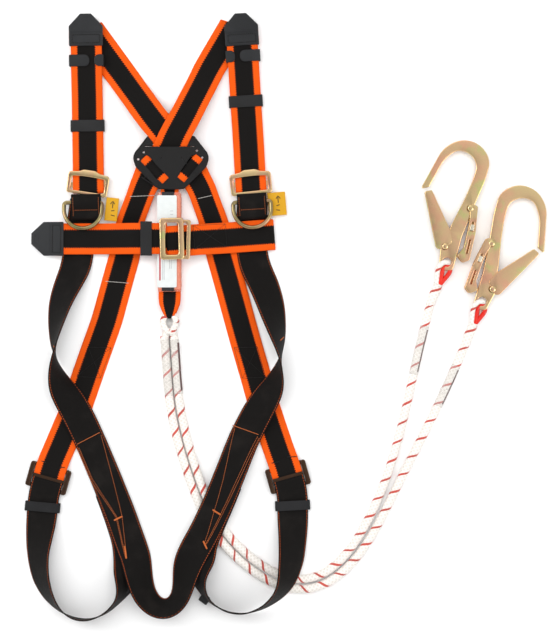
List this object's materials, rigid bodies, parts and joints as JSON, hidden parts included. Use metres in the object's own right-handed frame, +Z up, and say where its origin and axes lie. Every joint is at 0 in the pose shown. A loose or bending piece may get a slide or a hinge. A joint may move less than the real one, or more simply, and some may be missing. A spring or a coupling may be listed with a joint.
{
  "type": "full body safety harness",
  "caption": "Full body fall arrest harness of striped webbing with shoulder, chest and leg adjusters, dorsal plate and a twin rope lanyard with snap hooks.",
  "frame": {"origin": "middle of the laid out harness without its lanyard, on the surface it lies on", "axes": "+Y up the wearer towards the shoulders, +Z up from the surface out of the front of the harness, +X to the viewer's right where the lanyard lies"},
  "size_m": [0.7592, 0.8863, 0.0595],
  "materials": {
    "striped_webbing": "woven",
    "black_webbing": "woven",
    "elastic": "matt elastic",
    "dark_plastic": "moulded",
    "yellow_zinc": "yellow zinc plated",
    "gold_ring": "yellow zinc plated",
    "bronze": "dark plated",
    "black_plate": "satin",
    "pack_core": "folded webbing",
    "clear_sleeve": "shrink film",
    "splice": "shrink film",
    "rope": "braided",
    "red_plastic": "glossy",
    "tag": "printed"
  },
  "bodies": {
    "harness": {"absorber_hanger": "striped_webbing", "absorber_loop": "striped_webbing", "absorber_pack": "pack_core", "absorber_sleeve": "clear_sleeve", "back_strap_left": "striped_webbing", "back_strap_right": "striped_webbing", "chest_buckle_frame": "yellow_zinc", "chest_buckle_plate": "yellow_zinc", "chest_end_cap": "dark_plastic", "chest_free_end": "striped_webbing", "chest_strap_left": "striped_webbing", "chest_strap_right": "striped_webbing", "cross_slider_left": "gold_ring", "cross_slider_right": "gold_ring", "dorsal_plate": "black_plate", "dorsal_ring": "gold_ring", "leg_buckle_left": "bronze", "leg_buckle_right": "bronze", "leg_loop_left": "striped_webbing", "leg_loop_right": "striped_webbing", "ring_web_left": "black_webbing", "ring_web_right": "black_webbing", "rope_inner": "rope", "rope_lower_eyes": "rope", "rope_outer": "rope", "rope_splice_inner": "splice", "rope_splice_outer": "splice", "seat_strap": "striped_webbing", "shoulder_buckle_left": "yellow_zinc", "shoulder_buckle_right": "yellow_zinc", "shoulder_end_cap_left": "dark_plastic", "shoulder_end_cap_right": "dark_plastic", "shoulder_strap_left": "striped_webbing", "shoulder_strap_right": "striped_webbing", "side_strap_left": "striped_webbing", "side_strap_right": "striped_webbing", "size_tags": "tag", "thimble_inner": "red_plastic", "thimble_outer": "red_plastic"},
    "front_ring_left": {"front_ring_left": "gold_ring"},
    "front_ring_right": {"front_ring_right": "gold_ring"},
    "shoulder_keeper_left": {"shoulder_keeper_left": "elastic"},
    "strap_clip_left": {"strap_clip_left": "dark_plastic"},
    "shoulder_bar_left": {"shoulder_bar_left": "yellow_zinc"},
    "shoulder_keeper_right": {"shoulder_keeper_right": "elastic"},
    "strap_clip_right": {"strap_clip_right": "dark_plastic"},
    "shoulder_bar_right": {"shoulder_bar_right": "yellow_zinc"},
    "chest_keeper": {"chest_keeper": "elastic"},
    "leg_keeper_left": {"leg_keeper_left": "elastic"},
    "leg_bar_left": {"leg_bar_left": "bronze"},
    "leg_keeper_right": {"leg_keeper_right": "elastic"},
    "leg_bar_right": {"leg_bar_right": "bronze"},
    "hook_inner": {"hook_body_inner": "yellow_zinc", "hook_rivets_inner": "yellow_zinc"},
    "hook_gate_inner": {"hook_gate_inner": "yellow_zinc"},
    "hook_lever_inner": {"hook_lever_inner": "yellow_zinc"},
    "hook_outer": {"hook_body_outer": "yellow_zinc", "hook_rivets_outer": "yellow_zinc"},
    "hook_gate_outer": {"hook_gate_outer": "yellow_zinc"},
    "hook_lever_outer": {"hook_lever_outer": "yellow_zinc"}
  },
  "joints": [
    {"name": "front_ring_left_swing", "type": "hinge", "parent": "harness", "child": "front_ring_left", "pos_m": [-0.11519, 0.168, 0.0122], "axis": [0.9999, 0.0157, 0], "range_deg": [-115, 0]},
    {"name": "front_ring_right_swing", "type": "hinge", "parent": "harness", "child": "front_ring_right", "pos_m": [0.12289, 0.16905, 0.0122], "axis": [0.9981, 0.061, 0], "range_deg": [-115, 0]},
    {"name": "shoulder_keeper_left_slide", "type": "slide", "parent": "harness", "child": "shoulder_keeper_left", "axis": [-0.0157, 0.9999, 0], "range_m": [-0.03, 0.03]},
    {"name": "strap_clip_left_slide", "type": "slide", "parent": "harness", "child": "strap_clip_left", "axis": [-0.0157, 0.9999, 0], "range_m": [-0.01, 0.006]},
    {"name": "shoulder_bar_left_slide", "type": "slide", "parent": "harness", "child": "shoulder_bar_left", "axis": [-0.0157, 0.9999, 0], "range_m": [-0.001, 0.002]},
    {"name": "shoulder_keeper_right_slide", "type": "slide", "parent": "harness", "child": "shoulder_keeper_right", "axis": [-0.061, 0.9981, 0], "range_m": [-0.03, 0.004]},
    {"name": "strap_clip_right_slide", "type": "slide", "parent": "harness", "child": "strap_clip_right", "axis": [-0.061, 0.9981, 0], "range_m": [-0.016, 0.001]},
    {"name": "shoulder_bar_right_slide", "type": "slide", "parent": "harness", "child": "shoulder_bar_right", "axis": [-0.061, 0.9981, 0], "range_m": [-0.001, 0.002]},
    {"name": "chest_keeper_slide", "type": "slide", "parent": "harness", "child": "chest_keeper", "axis": [1, 0, 0], "range_m": [-0.01, 0.01]},
    {"name": "leg_keeper_left_slide", "type": "slide", "parent": "harness", "child": "leg_keeper_left", "axis": [0.0872, 0.9962, 0], "range_m": [-0.003, 0.003]},
    {"name": "leg_bar_left_slide", "type": "slide", "parent": "harness", "child": "leg_bar_left", "axis": [0.2723, 0.9622, 0], "range_m": [-0.003, 0.003]},
    {"name": "leg_keeper_right_slide", "type": "slide", "parent": "harness", "child": "leg_keeper_right", "axis": [-0.0523, 0.9986, 0], "range_m": [-0.003, 0.003]},
    {"name": "leg_bar_right_slide", "type": "slide", "parent": "harness", "child": "leg_bar_right", "axis": [-0.2723, 0.9622, 0], "range_m": [-0.003, 0.003]},
    {"name": "hook_inner_swing", "type": "hinge", "parent": "harness", "child": "hook_inner", "pos_m": [0.407, 0.081, 0.01], "axis": [0, 0, 1], "range_deg": [-3, 30]},
    {"name": "hook_gate_inner_swing", "type": "hinge", "parent": "hook_inner", "child": "hook_gate_inner", "pos_m": [0.40401, 0.10389, 0.01], "axis": [0, 0, 1], "range_deg": [-24, 0], "stiffness_Nm_per_rad": 0.12, "springref_deg": 14.32},
    {"name": "hook_lever_inner_swing", "type": "hinge", "parent": "hook_inner", "child": "hook_lever_inner", "pos_m": [0.44089, 0.15923, 0.01], "axis": [0, 0, 1], "range_deg": [-9, 0], "stiffness_Nm_per_rad": 0.12, "springref_deg": 14.32},
    {"name": "hook_outer_swing", "type": "hinge", "parent": "harness", "child": "hook_outer", "pos_m": [0.458, 0.024, 0.01], "axis": [0, 0, 1], "range_deg": [-30, 3]},
    {"name": "hook_gate_outer_swing", "type": "hinge", "parent": "hook_outer", "child": "hook_gate_outer", "pos_m": [0.47289, 0.04165, 0.01], "axis": [0, 0, 1], "range_deg": [0, 24], "stiffness_Nm_per_rad": 0.12, "springref_deg": -14.32},
    {"name": "hook_lever_outer_swing", "type": "hinge", "parent": "hook_outer", "child": "hook_lever_outer", "pos_m": [0.47175, 0.10814, 0.01], "axis": [0, 0, 1], "range_deg": [0, 9], "stiffness_Nm_per_rad": 0.12, "springref_deg": -14.32}
  ]
}
